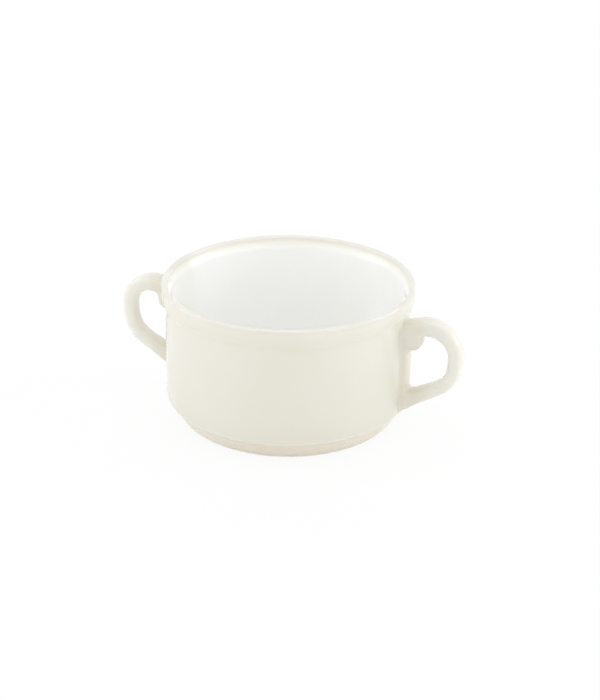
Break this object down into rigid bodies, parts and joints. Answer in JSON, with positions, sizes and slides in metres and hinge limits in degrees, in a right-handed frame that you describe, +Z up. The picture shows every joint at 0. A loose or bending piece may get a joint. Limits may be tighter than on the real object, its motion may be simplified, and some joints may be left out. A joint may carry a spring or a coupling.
{
  "type": "bouillon cup",
  "caption": "Low straight-sided bouillon cup in ivory opal glass, with a banded rim, a rounded stacking foot and a scrolled ear handle on either side, fused to the wall by a strap.",
  "frame": {"origin": "centre of the foot ring's resting face, on the cup's axis", "axes": "+Z up along the cup's axis, +X through the right handle, so both handles lie in the XZ plane"},
  "size_m": [0.1524, 0.105, 0.06],
  "materials": {
    "bowl_glass": "opal white, fire-polished gloss",
    "handle_glass": "opal white, fire-polished gloss"
  },
  "bodies": {
    "root": {"bowl": "bowl_glass", "right_handle": "handle_glass", "left_handle": "handle_glass"}
  },
  "joints": []
}
